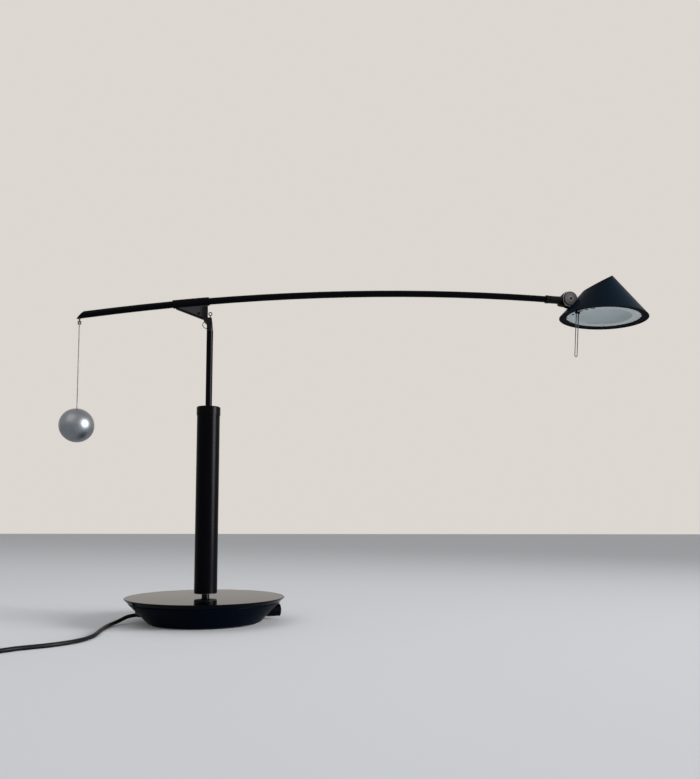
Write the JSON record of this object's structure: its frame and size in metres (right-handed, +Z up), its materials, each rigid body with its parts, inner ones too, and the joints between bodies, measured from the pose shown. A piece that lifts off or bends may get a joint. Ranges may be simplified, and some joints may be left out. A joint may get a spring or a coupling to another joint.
{
  "type": "counterweight balance desk lamp",
  "caption": "Desk lamp with a round base, swivelling column and long bowed arm, balanced by a steel ball on a wire and ending in an obliquely cut conical halogen shade.",
  "frame": {"origin": "centre of the round foot on the surface that the lamp stands on", "axes": "+Z up along the column, +X along the arm towards the shade, +Y away from the side with the joint screw head"},
  "size_m": [1.0214, 0.447, 0.5514],
  "materials": {
    "rubber": "matte",
    "zinc_steel": "satin",
    "bowl_paint": "satin",
    "plate_paint": "gloss",
    "bright_steel": "satin",
    "insulation": "matte",
    "winding": "satin",
    "black_plastic": "matte",
    "steel_shaft": "satin",
    "column_paint": "satin",
    "arm_black": "satin",
    "bracket_black": "satin",
    "ball_steel": "satin",
    "disc_grey": "satin",
    "shade_black": "satin",
    "reflector_silver": "satin",
    "white_ceramic": "matte",
    "quartz": "gloss",
    "dark_steel": "satin"
  },
  "bodies": {
    "base": {"foot_mat": "rubber", "bottom_cover": "zinc_steel", "cover_screws": "zinc_steel", "base_bowl": "bowl_paint", "top_plate": "plate_paint", "post": "bright_steel", "transformer_pad": "insulation", "transformer": "winding", "transformer_washer": "zinc_steel", "post_nut": "zinc_steel", "dimmer_board": "insulation", "potentiometer": "black_plastic", "dimmer_choke": "insulation", "terminal_block": "black_plastic", "strain_relief": "rubber", "mains_cord": "rubber", "cord_tail": "rubber", "cord_coil": "rubber", "plug_body": "rubber", "plug_pins": "bright_steel"},
    "knob": {"dimmer_knob": "black_plastic", "dimmer_shaft": "steel_shaft"},
    "column": {"sleeve_tube": "column_paint", "lower_bush": "black_plastic", "upper_bush": "black_plastic", "thrust_disc": "zinc_steel", "sleeve_collar": "column_paint", "stem": "column_paint", "stem_head": "column_paint", "pivot_pin": "column_paint", "lead_eye": "bright_steel", "jumper_lead": "black_plastic"},
    "arm": {"arm_tube": "arm_black", "arm_bracket": "bracket_black", "bracket_screw": "bright_steel", "arm_plug": "arm_black", "hanger_pin": "zinc_steel", "arm_end": "bracket_black", "friction_washer": "black_plastic", "joint_screw": "bright_steel"},
    "hanger": {"swivel_link": "zinc_steel"},
    "weight": {"wire_yoke": "zinc_steel", "weight_wire": "bright_steel", "counterweight": "ball_steel"},
    "head": {"head_disc": "disc_grey", "shade": "shade_black", "vent_cap": "shade_black", "rim_ring": "shade_black", "reflector": "reflector_silver", "reflector_clips": "bright_steel", "lamp_holder": "white_ceramic", "halogen_capsule": "quartz", "capsule_pins": "bright_steel", "handle_block": "dark_steel", "handle_wire": "bright_steel"}
  },
  "joints": [
    {"name": "column_swivel", "type": "hinge", "parent": "base", "child": "column", "pos_m": [0, 0, 0.296], "axis": [0, 0, 1], "range_deg": [-165, 165]},
    {"name": "dimmer_turn", "type": "hinge", "parent": "base", "child": "knob", "pos_m": [0, 0, 0.0135], "axis": [0.9781, 0.2079, 0], "range_deg": [-135, 135]},
    {"name": "arm_tilt", "type": "hinge", "parent": "column", "child": "arm", "pos_m": [-0.0064, 0, 0.452], "axis": [0, 1, 0], "range_deg": [-24, 26]},
    {"name": "weight_swing", "type": "hinge", "parent": "arm", "child": "hanger", "pos_m": [-0.187, 0, 0.4416], "axis": [0, 1, 0], "range_deg": [-26, 26]},
    {"name": "weight_sway", "type": "hinge", "parent": "hanger", "child": "weight", "pos_m": [-0.187, 0, 0.4358], "axis": [1, 0, 0], "range_deg": [-25, 25]},
    {"name": "head_tilt", "type": "hinge", "parent": "arm", "child": "head", "pos_m": [0.574, 0, 0.509], "axis": [0, 1, 0], "range_deg": [-60, 28]}
  ]
}
